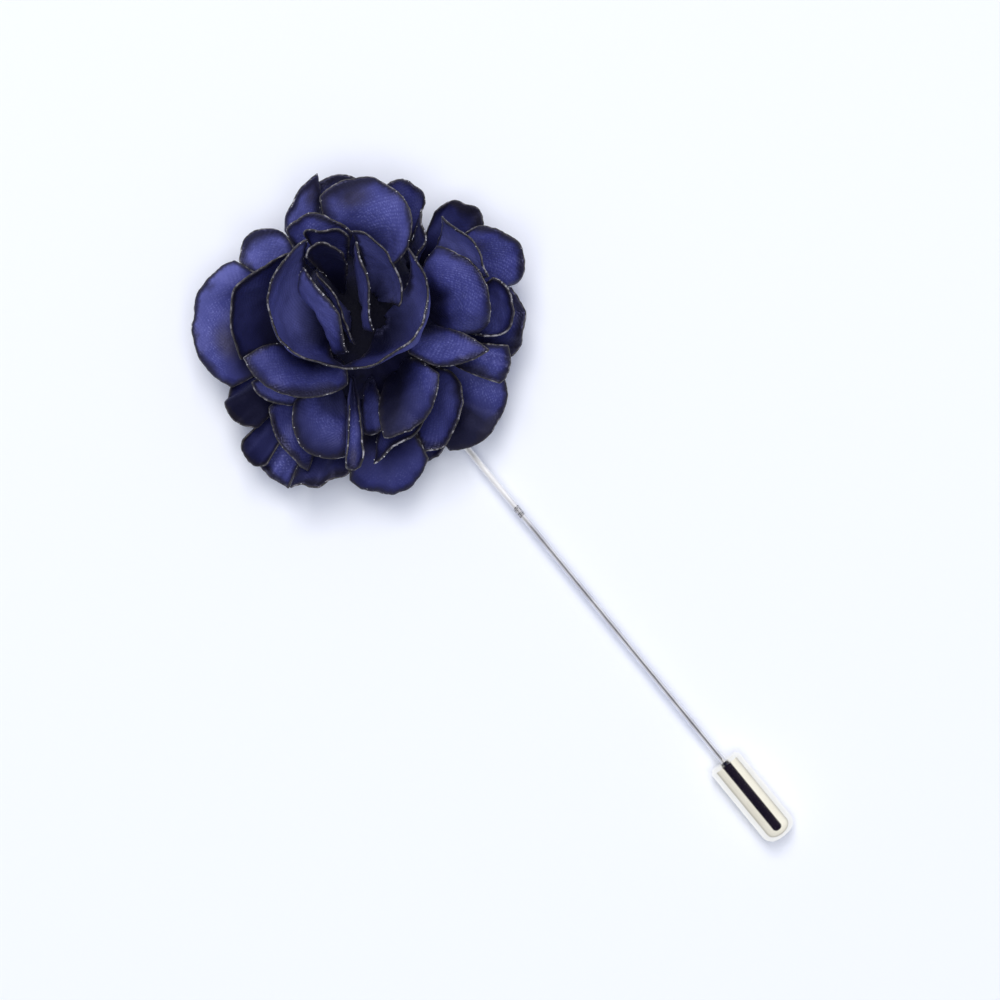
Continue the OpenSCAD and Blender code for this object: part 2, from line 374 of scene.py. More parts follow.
# root, left, tip, right, belly, crest
PETALS = {
    "bud_petal_1": ((-30, 6, 83), (-9, -27, 80), (-52, 5, 91), (-31, 45, 89), -16, 50),
    "bud_petal_2": ((15, 1, 84), (28, 40, 91), (37, 3, 93), (-13, -27, 91), -12, 50),
    "bud_petal_3": ((10, 25, 83), (-6, 48, 91), (14, 40, 95), (20, 8, 86), -6, 50),
    "bud_petal_4": ((-1, 20, 86), (-2, 43, 95), (4, 17, 100), (6, -8, 86), 4, 50),
    "bud_petal_5": ((-23, 28, 81), (-31, 35, 89), (-20, 43, 92), (-10, 37, 89), -4, 50),
    "bud_petal_6": ((-22, 6, 82), (-34, 29, 86), (-19, 10, 95), (-8, -18, 80), 20, 55),
    "bud_petal_7": ((-12, 12, 84), (-25, 27, 84), (-13, 7, 90), (-5, -15, 77), 8, 50),
    "bud_petal_8": ((-30, 41, 68), (-33, 48, 83), (-21, 51, 90), (-7, 48, 88), -4, 50),
    "top_petal_1": ((-2, 67, 53), (-24, 71, 64), (5, 83, 59), (27, 44, 59), 15, 60),
    "top_petal_2": ((-43, 63, 55), (-44, 54, 62), (-29, 60, 69), (-6, 52, 66), 8, 60),
    "top_petal_3": ((-54, 57, 42), (-48, 53, 38), (-41, 71, 48), (-29, 87, 45), 3, 60),
    "top_petal_4": ((-22, 73, 35), (-31, 79, 32), (-17, 87, 36), (-2, 83, 32), 6, 50),
    "top_petal_5": ((38, 71, 39), (14, 81, 41), (27, 82, 45), (36, 70, 41), 6, 50),
    "top_petal_6": ((46, 60, 51), (31, 64, 50), (35, 47, 55), (33, 38, 53), -6, 50),
    "right_petal_1": ((60, 53, 33), (42, 66, 29), (55, 72, 32), (70, 59, 29), 0, 50),
    "right_petal_2": ((73, 33, 35), (60, 53, 39), (92, 44, 39), (89, 23, 29), 2, 60),
    "right_petal_3": ((64, 31, 46), (46, 60, 61), (62, 46, 70), (74, 26, 64), -14, 60),
    "right_petal_4": ((68, 19, 57), (44, 42, 50), (72, 19, 63), (68, -8, 48), 14, 60),
    "right_petal_5": ((76, 8, 45), (75, 25, 47), (88, 9, 50), (70, -9, 44), -12, 60),
    "right_petal_6": ((78, -7, 29), (87, 21, 32), (94, 5, 34), (87, -19, 28), 0, 50),
    "right_petal_7": ((70, -27, 40), (84, -14, 41), (86, -24, 42), (79, -36, 40), 8, 60),
    "lower_right_petal_1": ((56, 3, 77), (73, -17, 61), (50, -26, 59), (27, -19, 57), 12, 60),
    "lower_right_petal_2": ((55, -49, 29), (76, -19, 27), (82, -51, 27), (50, -75, 25), 6, 60),
    "lower_right_petal_3": ((40, -52, 35), (50, -29, 39), (57, -53, 45), (36, -76, 41), 0, 60),
    "lower_right_petal_4": ((36, -44, 59), (44, -31, 58), (39, -52, 59), (13, -68, 55), 14, 60),
    "lower_right_petal_5": ((28, -65, 46), (40, -53, 52), (24, -69, 52), (5, -82, 46), -6, 60),
    "lower_right_petal_6": ((20, -77, 33), (37, -80, 30), (17, -100, 23), (-9, -93, 25), 13, 60),
    "lower_right_petal_7": ((7, -51, 68), (14, -60, 45), (8, -65, 45), (-1, -64, 39), 6, 50),
    "lower_left_petal_1": ((-51, -33, 69), (-10, -37, 55), (-45, -43, 61), (-70, -21, 55), 15, 60),
    "lower_left_petal_2": ((-60, -44, 50), (-40, -47, 42), (-56, -46, 45), (-66, -36, 44), 6, 60),
    "lower_left_petal_3": ((-66, -40, 42), (-64, -62, 33), (-81, -51, 32), (-79, -37, 23), 0, 60),
    "lower_left_petal_4": ((-45, -62, 27), (-46, -97, 20), (-58, -89, 20), (-68, -78, 20), 2, 60),
    "lower_left_petal_5": ((-49, -62, 44), (-33, -87, 35), (-51, -67, 40), (-56, -50, 39), 4, 60),
    "lower_left_petal_6": ((-35, -60, 57), (-9, -76, 37), (-31, -77, 45), (-39, -47, 45), 8, 60),
    "lower_left_petal_7": ((-35, -74, 31), (-9, -85, 31), (-28, -96, 34), (-44, -96, 32), -6, 60),
    "lower_left_petal_8": ((-17, -53, 72), (0, -79, 50), (-5, -86, 45), (-10, -79, 52), 6, 50),
    "left_petal_1": ((-66, 33, 50), (-72, 35, 42), (-62, 54, 45), (-45, 49, 45), 8, 60),
    "left_petal_2": ((-78, -5, 41), (-79, -38, 30), (-102, -1, 32), (-77, 37, 33), 8, 60),
    "left_petal_3": ((-71, -12, 53), (-72, -22, 50), (-75, 12, 57), (-41, 40, 57), -11, 60),
    "lower_left_petal_9": ((-56, -52, 37), (-58, -83, 28), (-72, -77, 28), (-72, -69, 28), 0, 60),
    "lower_right_petal_8": ((40, -62, 30), (48, -69, 20), (43, -78, 20), (35, -82, 20), 0, 60),
}
print("petals in the table:", len(PETALS))

# %% [markdown]
# ## How each petal's cloth looks
# No two cut discs came out alike. The second table gives each petal's rim a ripple in mm and its number of
# half waves, how much its melted edge sparkles, with droplets and painted glints, and the painted light or
# shade of its satin, where 1 is the plain colour. The third is for petals whose painted light isn't even: how
# much lighter they are painted towards the rim, and towards the right end of it, and the middle of a scorched
# spot, as a share of the length and a share of the rim.

# %% Tables of looks
# ripple, waves, sparkle, painted light
LOOKS = {
    "bud_petal_1": (0.3, 3, 0.8, 1.85),
    "bud_petal_2": (0.25, 3, 1.3, 1.3),
    "bud_petal_3": (0.3, 2, 0.7, 2.0),
    "bud_petal_4": (0.2, 3, 2.6, 1.2),
    "bud_petal_5": (0.2, 2, 0.7, 0.1),
    "bud_petal_6": (0.25, 3, 2.8, 1.7),
    "bud_petal_7": (0.2, 3, 0.5, 1.6),
    "bud_petal_8": (0.25, 3, 0.7, 1.2),
    "top_petal_1": (0.45, 3, 0.4, 1.25),
    "top_petal_2": (0.35, 2, 1.4, 1.15),
    "top_petal_3": (0.3, 3, 2.2, 1.5),
    "top_petal_4": (0.3, 3, 0.6, 0.4),
    "top_petal_5": (0.35, 3, 2.0, 0.7),
    "top_petal_6": (0.3, 3, 2.8, 0.4),
    "right_petal_1": (0.45, 4, 0.6, 0.4),
    "right_petal_2": (0.6, 4, 0.4, 0.75),
    "right_petal_3": (0.3, 3, 1.6, 2.0),
    "right_petal_4": (0.4, 3, 0.6, 0.95),
    "right_petal_5": (0.3, 3, 1.3, 0.8),
    "right_petal_6": (0.5, 4, 0.5, 1.0),
    "right_petal_7": (0.4, 3, 0.5, 1.0),
    "lower_right_petal_1": (0.3, 3, 1.2, 1.0),
    "lower_right_petal_2": (0.5, 3, 0.4, 0.5),
    "lower_right_petal_3": (0.35, 3, 1.1, 0.7),
    "lower_right_petal_4": (0.35, 3, 1.0, 0.25),
    "lower_right_petal_5": (0.3, 3, 2.0, 0.6),
    "lower_right_petal_6": (0.5, 3, 0.4, 0.2),
    "lower_right_petal_7": (0.25, 2, 0.5, 0.6),
    "lower_left_petal_1": (0.35, 3, 0.9, 0.7),
    "lower_left_petal_2": (0.3, 3, 0.6, 1.6),
    "lower_left_petal_3": (0.5, 4, 0.4, -0.1),
    "lower_left_petal_4": (0.45, 4, 0.4, 1.2),
    "lower_left_petal_5": (0.3, 3, 0.8, 0.65),
    "lower_left_petal_6": (0.35, 2, 1.6, 0.95),
    "lower_left_petal_7": (0.45, 4, 0.8, 0.3),
    "lower_left_petal_8": (0.25, 3, 1.8, 1.0),
    "left_petal_1": (0.4, 3, 0.5, 1.6),
    "left_petal_2": (0.5, 4, 0.5, 0.3),
    "left_petal_3": (0.35, 3, 0.4, 0.25),
    "lower_left_petal_9": (0.4, 3, 0.5, 0.3),
    "lower_right_petal_8": (0.3, 3, 0.5, 0.5),
}

# rimward, rightward: painted light towards the rim and the right end; scorched spot
MARKS = {
    "bud_petal_1": (-0.1, 1.1, (0.92, 0.75)),
    "bud_petal_2": (-0.2, -0.6, None),
    "bud_petal_6": (0.0, -1.1, None),
    "bud_petal_7": (-0.4, -0.4, None),
    "bud_petal_8": (-0.8, 0.0, None),
    "top_petal_1": (0.1, 0.0, (0.78, 0.28)),
    "top_petal_3": (0.4, -0.3, (0.8, 0.85)),
    "right_petal_2": (0.3, 0.3, (0.6, 0.25)),
    "right_petal_4": (0.1, -0.2, None),
    "right_petal_6": (0.0, -1.0, None),
    "lower_right_petal_2": (0.0, -2.2, None),
    "lower_right_petal_4": (0.5, -0.8, None),
    "lower_right_petal_6": (0.8, 0.0, None),
    "lower_left_petal_1": (0.25, 0.0, None),
    "lower_left_petal_3": (0.0, 0.6, None),
    "lower_left_petal_6": (-0.9, 0.0, None),
    "lower_left_petal_8": (0.0, 0.9, (0.85, 0.5)),
    "left_petal_2": (1.6, 0.6, (0.62, 0.36)),
    "left_petal_3": (0.3, 0.0, None),
}
EVEN = (0.0, 0.0, None)
# The petals in deep painted shade, which take the copy of the satin with less gloss.
SHADED_PETALS = (
    "lower_left_petal_3", "lower_left_petal_9", "left_petal_3", "bud_petal_5", "bud_petal_8", "right_petal_1",
)
print("petals with marks:", len(MARKS), "of", len(LOOKS))


# %% The petal's rule
def spot(share, radius, height):
    """A point from hundredths of a radius and of a height."""
    return Vector((share[0] * radius, share[1] * radius, share[2] * height)) / 100


def rim_arc(left, tip, right):
    """The circle through three points: its centre, radius and two axes, and the turn from left to right."""
    u, v = tip - left, right - left
    w = u.cross(v)
    centre = left + (w.cross(u) * v.dot(v) + v.cross(w) * u.dot(u)) / (2 * w.dot(w))
    x_axis = (left - centre).normalized()
    y_axis = w.normalized().cross(x_axis)
    turn = math.atan2((right - centre).dot(y_axis), (right - centre).dot(x_axis)) % (2 * math.pi)
    return centre, (left - centre).length, x_axis, y_axis, turn


def turned(v):
    """From the photograph's axes to the frame's."""
    c, s = math.cos(PHOTO_TURN), math.sin(PHOTO_TURN)
    return Vector((c * v.x - s * v.y, s * v.x + c * v.y, v.z))


def petal_rule(row):
    """A function from shares, root to rim and along the rim, to mm; the rim's length; the petal's length."""
    root, left, tip, right, belly, crest = row
    root = spot(root, BASE_R, BASE_TOP)
    left, tip, right = (spot(corner, HEAD_R, HEAD_H) for corner in (left, tip, right))
    centre, radius, x_axis, y_axis, turn = rim_arc(left, tip, right)
    up = (right - left).cross(tip - root).normalized()
    rise = belly / 100 * (tip - root).length
    power = math.log(0.5) / math.log(crest / 100)
    middle = (left + right) / 2

    def at(s, t):
        angle = t * turn
        rim = centre + radius * (math.cos(angle) * x_axis + math.sin(angle) * y_axis)
        spread = s + FULLNESS * math.sin(math.pi * (s - ROOT_SHARE) / (1 - ROOT_SHARE))
        fan = root + s * (middle - root) + spread * (rim - middle)
        return turned(fan + rise * math.sin(math.pi * s**power) * up)

    return at, radius * turn, (tip - root).length


# %% [markdown]
# ## Creases and ripples
# Cloth simulation could drape the petals, but these were stiffened and shaped by heat. So the fine form is a
# push along the surface's own normal. Near the root the gathers are narrow, at the rim the ripple is long and
# slow, a crease runs between them on the wider petals, and noise keeps the satin from looking moulded. The
# noise is read at the point in space plus an offset of the petal's own, so no two petals repeat.

# %% Sizes of the fine form
ROWS, COLS = 34, 56
FRAY, FINE_FRAY = 0.022, 0.008
GATHER_DEPTH, CREASE_DEPTH = 0.12, 0.42
SLOW_DENT, DENT, FINE_DENT = 0.34, 0.13, 0.03
BALL_GAP, BALL_GAP_STEP = 0.1, 0.04
print("points on each side of a petal:", ROWS * COLS)


# %% Grid helpers
def smooth(low, high, x):
    """0 below low, 1 above high, and an S curve from one to the other."""
    x = min(1.0, max(0.0, (x - low) / (high - low)))
    return x * x * (3 - 2 * x)


def row_share(i):
    """Share of the petal's length at a row; the rows get closer towards the rim."""
    return ROOT_SHARE + (1 - ROOT_SHARE) * (i / (ROWS - 1)) ** 0.85


def grid_normal(grid, i, j):
    """The unit normal of a grid of points at one of them."""
    down = grid[min(i + 1, len(grid) - 1)][j] - grid[max(i - 1, 0)][j]
    over = grid[i][min(j + 1, len(grid[0]) - 1)] - grid[i][max(j - 1, 0)]
    normal = over.cross(down)
    return normal.normalized() if normal.length > 1e-9 else Vector((0, 0, 1))


# %% Pushes along the normal
def fray_at(t, rim_length, number):
    """How much longer or shorter the cloth is cut at a place along the rim, as a share."""
    frayed = FRAY * noise.noise(Vector((t * rim_length * 0.55, number * 1.7, 0.3)))
    return frayed + FINE_FRAY * noise.noise(Vector((t * rim_length * 2.1, number * 2.9, 0.8)))


def crease_at(s, t, rim_length, number):
    """A long valley beside a lower ridge, on the petals that are wide enough to fold."""
    place = 0.28 + 0.44 * ((number * 0.618) % 1)
    valley = math.exp(-(((t - place) / 0.09) ** 2)) - 0.6 * math.exp(-(((t - place - 0.17) / 0.1) ** 2))
    valley *= smooth(10, 16, rim_length)
    return CREASE_DEPTH * valley * smooth(0.15, 0.5, s) * (1 - 0.7 * smooth(0.75, 1.0, s))


def push_at(s, t, point, rim_length, ripple, waves, number):
    """Ripple, gathers, crease and dents together, in mm."""
    own = Vector((number * 7.31, number * 3.77, number * 5.13))
    middle = 0.4 + 0.6 * math.sin(math.pi * t)
    push = ripple * smooth(0.55, 1.0, s) * math.sin(2 * math.pi * (waves * t * 0.5 + number * 0.37))
    push += GATHER_DEPTH * (1 - smooth(0.2, 0.75, s)) * math.sin(rim_length * t + number) * middle
    push -= crease_at(s, t, rim_length, number)
    push += SLOW_DENT * smooth(0.2, 0.7, s) * noise.noise(point * 0.26 + own)
    push += DENT * noise.noise(point * 0.75 + own)
    return push + FINE_DENT * noise.noise(point * 2.2 + own)


# %% Petal points
def petal_points(row, ripple, waves, number):
    """Middle surface of a petal, clear of the base, as rows of points in mm; its rim's length; its own."""
    at, rim_length, length = petal_rule(row)
    plain = []
    for i in range(ROWS):
        s = row_share(i)
        places = [j / (COLS - 1) for j in range(COLS)]
        plain.append([at(s * (1 + fray_at(t, rim_length, number) * s * s), t) for t in places])
    seat = BALL_R + BALL_GAP + BALL_GAP_STEP * (number % 8)
    fine = []
    for i in range(ROWS):
        line = []
        for j in range(COLS):
            point = plain[i][j]
            push = push_at(row_share(i), j / (COLS - 1), point, rim_length, ripple, waves, number)
            moved = point + grid_normal(plain, i, j) * push
            from_ball = moved - BALL
            if from_ball.length < seat:
                moved = BALL + from_ball.normalized() * seat
            line.append(moved)
        fine.append(line)
    return fine, rim_length, length


# %% Petal walls
def swell_at(s, t, point):
    """Where the swell is painted lit: 0 at the root, about 1 in the middle of the swell, less at the rim."""
    along = smooth(0.12, 0.62, s) * (1 - 0.8 * smooth(0.78, 1.0, s))
    across = 1 - 0.55 * abs(2 * t - 1) ** 2.2
    return max(0.0, along * across + 0.32 * noise.noise(point * 0.33) + 0.12 * noise.noise(point * 0.9))


def rim_distance(grid, i, j):
    """The shortest way over the cloth, along its row or its column, to the rim or a side."""
    rows, cols = len(grid), len(grid[0])
    to_top = sum((grid[k + 1][j] - grid[k][j]).length for k in range(i, rows - 1))
    half = range(0, j) if j < cols / 2 else range(j, cols - 1)
    to_side = sum((grid[i][k + 1] - grid[i][k]).length for k in half)
    return min(to_top, to_side)


def scorch_at(s, t, scorched):
    """How strongly a petal is scorched at a place, if it has a scorched spot."""
    if scorched is None:
        return 0.0
    return math.exp(-(((s - scorched[0]) / 0.15) ** 2 + ((t - scorched[1]) / 0.14) ** 2))


def wall_faces(rows, cols):
    """The faces of a thin closed shell: two skins over a grid and the band between their borders."""
    count = rows * cols
    corners = [i * cols + j for i in range(rows - 1) for j in range(cols - 1)]
    skin = [(a, a + cols, a + cols + 1, a + 1) for a in corners]
    border = list(range(cols)) + [i * cols + cols - 1 for i in range(1, rows)]
    border += [(rows - 1) * cols + j for j in range(cols - 2, -1, -1)]
    border += [i * cols for i in range(rows - 2, 0, -1)]
    faces = skin + [tuple(v + count for v in reversed(f)) for f in skin]
    for k, a in enumerate(border):
        b = border[(k + 1) % len(border)]
        faces.append((a, b, b + count, a + count))
    return faces


def cloth_wall(grid, rim_length, length, tone, marks):
    """A thin closed shell about a grid of points, with cloth coordinates in mm and what the satin reads."""
    rows, cols = len(grid), len(grid[0])
    rimward, rightward, scorched = marks
    points = []
    for side in (0.5, -0.5):
        for i in range(rows):
            for j in range(cols):
                points.append((grid[i][j] + grid_normal(grid, i, j) * CLOTH * side) * MM)
    cloth, values = [], {"rim": [], "share": [], "swell": [], "tone": [], "scorch": []}
    for i in range(rows):
        for j in range(cols):
            s, t = i / (rows - 1), j / (cols - 1)
            cloth.append(((t - 0.5) * rim_length * (0.35 + 0.65 * s), length * s))
            values["rim"].append(rim_distance(grid, i, j))
            values["share"].append(s)
            values["swell"].append(swell_at(s, t, grid[i][j]))
            # Painted light of the petal, with painted gradients towards the rim and the right end.
            values["tone"].append(tone + rimward * (2 * s - 1) + rightward * (2 * t - 1))
            values["scorch"].append(scorch_at(s, t, scorched))
    both_sides = {label: numbers * 2 for label, numbers in values.items()}
    return points, wall_faces(rows, cols), cloth * 2, both_sides


# %% Petal meshes
def cloth_mesh(name, walls):
    """One mesh from one or more walls, with its UV map in mm and what the satin reads at each point."""
    points, faces, cloth, values = [], [], [], {}
    for more_points, more_faces, more_cloth, more_values in walls:
        start = len(points)
        points += more_points
        faces += [tuple(v + start for v in f) for f in more_faces]
        cloth += more_cloth
        for label, numbers in more_values.items():
            values.setdefault(label, []).extend(numbers)
    mesh = mesh_of(name, points, faces)
    layer = mesh.uv_layers.new(name="cloth")
    corners = [0] * len(mesh.loops)
    mesh.loops.foreach_get("vertex_index", corners)
    layer.data.foreach_set("uv", [value for v in corners for value in cloth[v]])
    for label, numbers in values.items():
        mesh.attributes.new(label, "FLOAT", "POINT").data.foreach_set("value", numbers)
    return mesh


def add_piece(name, mesh, body="pin"):
    """A new object at the origin that rides on a body and takes its finish from a slot."""
    piece = add_object(name, mesh)
    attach(piece, body)
    return piece


# %% Make the petals
# Two lobes are folds of a neighbour's cloth.
SHARED_CLOTH = {"lower_right_petal_7": "lower_right_petal_4", "lower_right_petal_8": "lower_right_petal_2"}
# The least side in mm, and the least share of its rectangle, that a flat cloth's sizes are held to.
LEAST_SIDE, LEAST_AREA_SHARE = 10.0, 0.301
FIRST_BEAD_ROW = ROWS // 3
BEAD_CLEAR = 0.7
rim_paths, walls, sizes = [], {}, {}
for number, (name, row) in enumerate(PETALS.items()):
    ripple, waves, sparkle, tone = LOOKS[name]
    grid, rim_length, length = petal_points(row, ripple, waves, number)
    cloth = SHARED_CLOTH.get(name, name)
    walls.setdefault(cloth, []).append(cloth_wall(grid, rim_length, length, tone, MARKS.get(name, EVEN)))
    sizes.setdefault(cloth, []).append((name, max(LEAST_SIDE, rim_length), max(LEAST_SIDE, length)))
    path = [grid[i][0] for i in range(FIRST_BEAD_ROW, ROWS)] + grid[-1][1:-1]
    path += [grid[i][-1] for i in range(ROWS - 1, FIRST_BEAD_ROW - 1, -1)]
    rim_paths.append(([p for p in path if (p - BALL).length > BALL_R + BEAD_CLEAR], sparkle))

# %% Join the cloths and work out their flat sizes
cloth_area = 0
for cloth, parts in walls.items():
    mesh = cloth_mesh("satin_" + cloth, parts)
    mesh.materials.append(shaded_satin if cloth in SHADED_PETALS else navy_satin)
    petal = add_piece("satin_" + cloth, mesh)
    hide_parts(*[name for name, _, _ in sizes[cloth]])
    width = sum(w for _, w, _ in sizes[cloth])
    tall = max(t for _, _, t in sizes[cloth])
    area = sum(p.area for p in mesh.polygons) / 2 / MM**2
    cloth_area += area
    area = min(max(area, LEAST_AREA_SHARE * width * tall), width * tall)
    width * MM
    tall * MM
    area * MM**2
print("petals:", len(rim_paths), "on", len(walls), "cloths, square mm in all:", round(cloth_area))

# %% [markdown]
# ## The singed rims
# Heat melts the cut edge into a thin uneven bead with a few shiny droplets. A bevelled curve on each petal
# would give a bead of even thickness, and 41 objects to look after. So two Geometry Nodes trees run over one
# mesh of all the paths: one sweeps a wavering tube along every rim, the other sets small droplets on it. The
# droplets' tree and the bead's finish read a `sparkle` value that is stored on each path, because some rims
# were melted more than others; in the bead's finish it sets how many painted glints show. The droplets'
# near-white colour is a painted glint too.


# %% Node tree helper
class Plan:
    """A Geometry Nodes tree with inputs that have a name and a kind, such as Float."""

    def __init__(self, name, inputs):
        self.tree = bpy.data.node_groups.new(name, "GeometryNodeTree")
        self.tree.is_modifier = True
        face = self.tree.interface
        face.new_socket(name="Geometry", in_out="INPUT", socket_type="NodeSocketGeometry")
        for label, kind in inputs:
            face.new_socket(name=label, in_out="INPUT", socket_type="NodeSocket" + kind)
        face.new_socket(name="Geometry", in_out="OUTPUT", socket_type="NodeSocketGeometry")
        self.given = self.tree.nodes.new("NodeGroupInput")
        self.result = self.tree.nodes.new("NodeGroupOutput")

    def add(self, kind, settings=None, values=None):
        node = self.tree.nodes.new(kind)
        for key, value in (settings or {}).items():
            setattr(node, key, value)
        for key, value in (values or {}).items():
            if isinstance(value, bpy.types.NodeSocket):
                self.tree.links.new(value, node.inputs[key])
            else:
                node.inputs[key].default_value = value
        return node

    def maths(self, operation, a, b):
        return self.add("ShaderNodeMath", {"operation": operation}, {0: a, 1: b}).outputs[0]

    def even_curve(self, paths, step):
        """Paths as curves with points a step apart."""
        curve = self.add("GeometryNodeMeshToCurve", None, {"Mesh": paths})
        values = {"Curve": curve.outputs[0], "Length": step}
        return self.add("GeometryNodeResampleCurve", {"mode": "LENGTH"}, values).outputs[0]

    def end(self, geometry, finish):
        """Closes the tree with real geometry and its finish."""
        real = self.add("GeometryNodeRealizeInstances", None, {"Geometry": geometry})
        painted = self.add("GeometryNodeSetMaterial", None, {"Geometry": real.outputs[0], "Material": finish})
        self.tree.links.new(painted.outputs[0], self.result.inputs[0])


def grown(name, source, plan, values):
    """The plain mesh that a tree makes from a source mesh."""
    holder = add_object(name + "_source", source)
    modifier = holder.modifiers.new(name, "NODES")
    modifier.node_group = plan.tree
    for item in plan.tree.interface.items_tree:
        if item.in_out == "INPUT" and item.name in values:
            modifier[item.identifier] = values[item.name]
    graph = bpy.context.evaluated_depsgraph_get()
    mesh = bpy.data.meshes.new_from_object(holder.evaluated_get(graph))
    mesh.name = name
    holder.modifiers.remove(modifier)
    bpy.data.objects.remove(holder)
    return mesh


# %% Rim paths
rim_points, rim_edges, sparkles = [], [], []
for path, sparkle in rim_paths:
    start = len(rim_points)
    rim_points += [p * MM for p in path]
    rim_edges += [(start + k, start + k + 1) for k in range(len(path) - 1)]
    sparkles += [sparkle] * len(path)
rim_mesh = bpy.data.meshes.new("rim_paths")
rim_mesh.from_pydata(rim_points, rim_edges, [])
rim_mesh.attributes.new("sparkle", "FLOAT", "POINT").data.foreach_set("value", sparkles)
print("rim paths:", len(rim_paths), "points:", len(rim_points))

# %% Bead and droplet finishes
singed = Bench("singed_bead")
bead_place = singed.place()
mottle = singed.cloud(bead_place, 1700.0, 2.0, 0.6)
slow = singed.cloud(bead_place, 420.0, 2.0, 0.5)
bead_colour = singed.mix(mottle.between(0.42, 0.66), paint(30, 28, 32), paint(74, 70, 74))
glint = singed.add("ShaderNodeAttribute", {"attribute_name": "sparkle"})["Fac"].between(0.0, 2.4)
# Painted glints: light grey flecks on the bead, more on the rims that sparkle.
painted_bead_glints = (slow * mottle).between(0.29, 0.38) * (0.14 + glint * 0.86)
bead_colour = singed.mix(painted_bead_glints, bead_colour, paint(176, 174, 180))
singed_bead = singed.finish(
    {"Base Color": bead_colour, "Roughness": 0.5 - mottle * 0.25, "Specular IOR Level": 0.5},
    mottle, strength=0.5, depth=0.00006,
)

droplet = Bench("melted_droplet")
droplet_tone = droplet.cloud(droplet.place(), 900.0, 2.0, 0.5)
# The droplets' near-white colour is a painted glint.
droplet_glint_colour = droplet.mix(droplet_tone.between(0.35, 0.65), paint(150, 148, 156), paint(250, 250, 252))
melted_droplet = droplet.finish({
    "Base Color": droplet_glint_colour, "Roughness": 0.3 - droplet_tone * 0.1,
    "Specular IOR Level": 0.7, "Coat Weight": 0.4,
})
print("rim finishes:", singed_bead.name, melted_droplet.name)

# %% Bead tree
bead_plan = Plan(
    "rim_bead",
    [("Step", "Float"), ("Bead radius", "Float"), ("Waver", "Float"), ("Finish", "Material")],
)
given = bead_plan.given.outputs
even = bead_plan.even_curve(given["Geometry"], given["Step"])
lumps = bead_plan.add("ShaderNodeTexNoise", None, {"Scale": 1400.0, "Detail": 2.0})
swing = bead_plan.maths("MULTIPLY", bead_plan.maths("SUBTRACT", lumps.outputs["Fac"], 0.5), given["Waver"])
thick = bead_plan.maths("MULTIPLY", bead_plan.maths("ADD", swing, 1.0), given["Bead radius"])
round_bead = bead_plan.add("GeometryNodeCurvePrimitiveCircle", None, {"Resolution": 6, "Radius": 1.0})
swept = bead_plan.add(
    "GeometryNodeCurveToMesh", None,
    {"Curve": even, "Profile Curve": round_bead.outputs["Curve"], "Scale": thick, "Fill Caps": True},
)
soft = bead_plan.add("GeometryNodeSetShadeSmooth", None, {"Geometry": swept.outputs[0]})
bead_plan.end(soft.outputs[0], given["Finish"])
bead_sizes = {"Step": 0.14 * MM, "Bead radius": 0.115 * MM, "Waver": 1.1, "Finish": singed_bead}
bead_mesh = grown("singed_rims", rim_mesh, bead_plan, bead_sizes)
add_piece("singed_rims", bead_mesh)
print("bead faces:", len(bead_mesh.polygons))

# %% Droplet tree
drop_plan = Plan(
    "rim_droplets",
    [("Step", "Float"), ("Share", "Float"), ("Droplet radius", "Float"), ("Seed", "Int"),
     ("Finish", "Material")],
)
given = drop_plan.given.outputs
even = drop_plan.even_curve(given["Geometry"], given["Step"])
stored = drop_plan.add("GeometryNodeInputNamedAttribute", {"data_type": "FLOAT"}, {"Name": "sparkle"})
chance = drop_plan.maths("MULTIPLY", stored.outputs["Attribute"], given["Share"])
toss = drop_plan.add("FunctionNodeRandomValue", {"data_type": "FLOAT"}, {"Seed": given["Seed"]})
chosen = drop_plan.maths("LESS_THAN", toss.outputs[1], chance)
ball_values = {"Radius": given["Droplet radius"], "Subdivisions": 1}
ball = drop_plan.add("GeometryNodeMeshIcoSphere", None, ball_values)
scales = drop_plan.add(
    "FunctionNodeRandomValue", {"data_type": "FLOAT"}, {2: 0.45, 3: 1.25, "Seed": given["Seed"]}
)
shift_range = {0: (-0.12 * MM, -0.12 * MM, 0.0), 1: (0.12 * MM, 0.12 * MM, 0.16 * MM)}
shift = drop_plan.add(
    "FunctionNodeRandomValue", {"data_type": "FLOAT_VECTOR"}, {**shift_range, "Seed": given["Seed"]}
)
jittered = drop_plan.add("GeometryNodeSetPosition", None, {"Geometry": even, "Offset": shift.outputs[0]})
placed_values = {"Points": jittered.outputs[0], "Selection": chosen, "Instance": ball.outputs["Mesh"]}
placed_values["Scale"] = scales.outputs[1]
placed = drop_plan.add("GeometryNodeInstanceOnPoints", None, placed_values)
drop_plan.end(placed.outputs[0], given["Finish"])
drop_sizes = {
    "Step": 0.11 * MM, "Share": 0.045, "Droplet radius": 0.12 * MM, "Seed": 7, "Finish": melted_droplet,
}
drop_mesh = grown("melted_droplets", rim_mesh, drop_plan, drop_sizes)
add_piece("melted_droplets", drop_mesh)
print("droplet faces:", len(drop_mesh.polygons))
